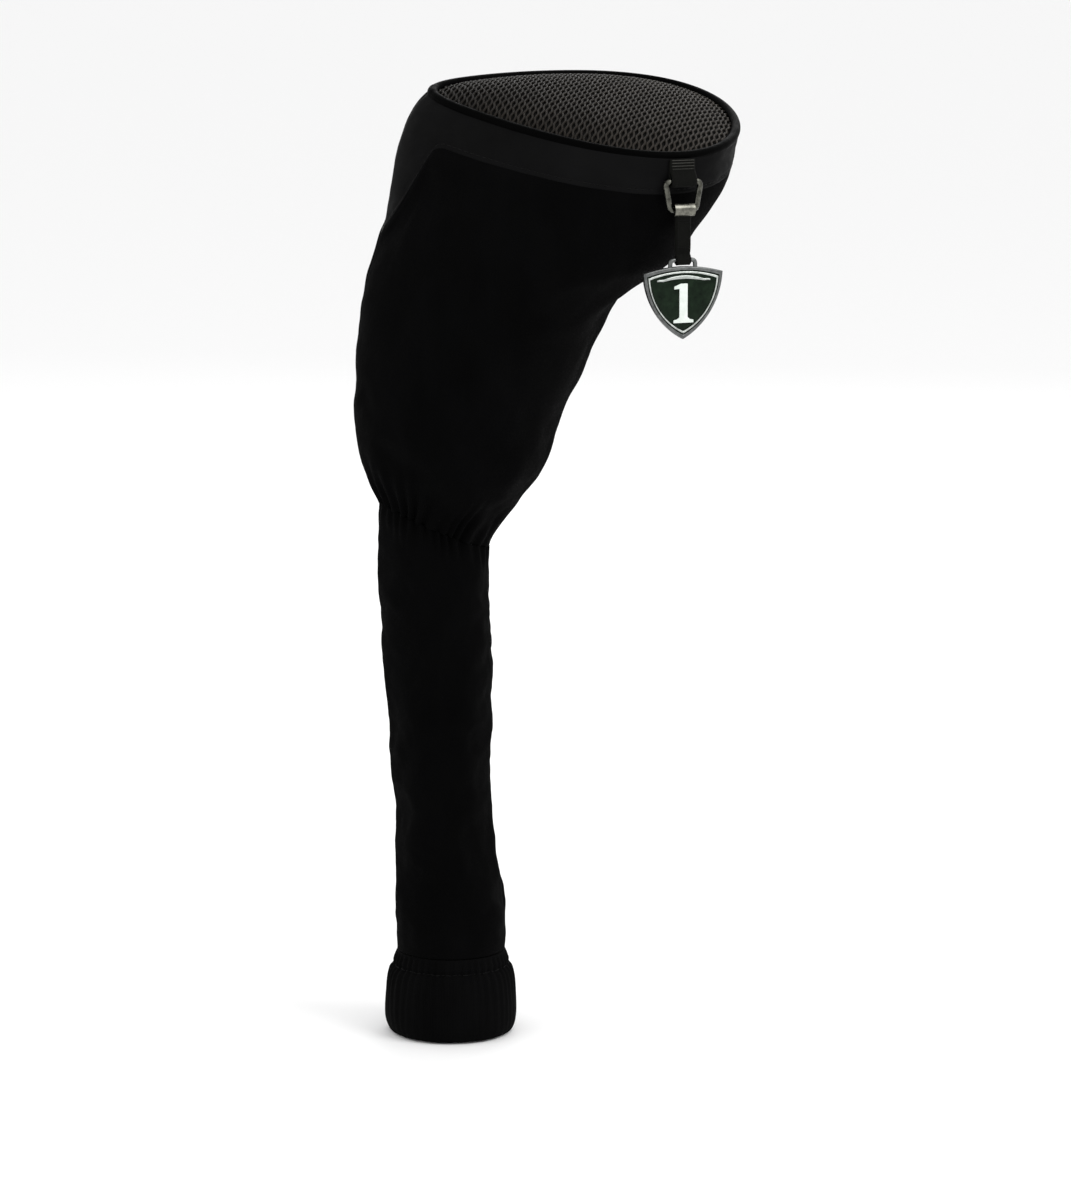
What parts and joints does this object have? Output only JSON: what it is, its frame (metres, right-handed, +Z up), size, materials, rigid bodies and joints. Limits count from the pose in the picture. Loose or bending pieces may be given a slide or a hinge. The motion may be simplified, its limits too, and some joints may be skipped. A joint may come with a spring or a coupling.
{
  "type": "driver head cover",
  "caption": "Padded fabric cover for a golf driver: domed mesh crown, sewn pocket, elastic neck, long shaft sock with cuff, and a number tag hung from a ring.",
  "frame": {"origin": "centre of the cuff's mouth, at the lower end of the shaft sock", "axes": "+Z up along the club's shaft towards the head, +X towards the toe of the club head, -Y towards the front, where the tag hangs"},
  "size_m": [0.1592, 0.1046, 0.4049],
  "materials": {
    "mesh_cloth": "ribbed open mesh, matt",
    "foam": "open-cell foam",
    "lining": "brushed soft lining",
    "piping": "smooth bias tape over cord",
    "cord": "cotton filler cord",
    "band_cloth": "smooth coated cloth, matt",
    "knit": "foam-backed knit, matt",
    "elastic": "woven elastic",
    "webbing": "woven tape",
    "thread": "sewing thread",
    "ring_metal": "dark polished nickel",
    "tag_metal": "antique silver",
    "enamel": "dark green enamel",
    "number_paint": "white enamel"
  },
  "bodies": {
    "cover": {"crown_mesh_panel": "mesh_cloth", "crown_foam_pad": "foam", "crown_lining": "lining", "piping_sleeve": "piping", "piping_cord": "cord", "band_front": "band_cloth", "band_back": "band_cloth", "band_padding_front": "foam", "band_padding_back": "foam", "heel_bartack": "thread", "pocket_front": "knit", "pocket_back": "knit", "lining_front": "lining", "lining_back": "lining", "neck_elastic": "elastic", "sock_front": "knit", "sock_back": "knit", "cuff": "knit", "cuff_liner": "knit", "cuff_elastic": "elastic", "ring_tab": "webbing", "tab_bartack": "thread"},
    "ring": {"tag_ring": "ring_metal"},
    "strap": {"tag_strap": "webbing", "strap_stitching": "thread", "strap_clip": "ring_metal"},
    "tag": {"tag_shield": "tag_metal", "tag_enamel": "enamel", "tag_number": "number_paint", "tag_arch": "tag_metal"}
  },
  "joints": [
    {"name": "ring_swing", "type": "hinge", "parent": "cover", "child": "ring", "pos_m": [0.09549, -0.04696, 0.3656], "axis": [-0.9272, -0.3746, 0], "range_deg": [-4, 110]},
    {"name": "strap_swing", "type": "hinge", "parent": "ring", "child": "strap", "pos_m": [0.09549, -0.04696, 0.3542], "axis": [-0.9272, -0.3746, 0], "range_deg": [-8, 60]},
    {"name": "tag_swing", "type": "hinge", "parent": "strap", "child": "tag", "pos_m": [0.09549, -0.04696, 0.3338], "axis": [-0.9272, -0.3746, 0], "range_deg": [-8, 45]}
  ]
}
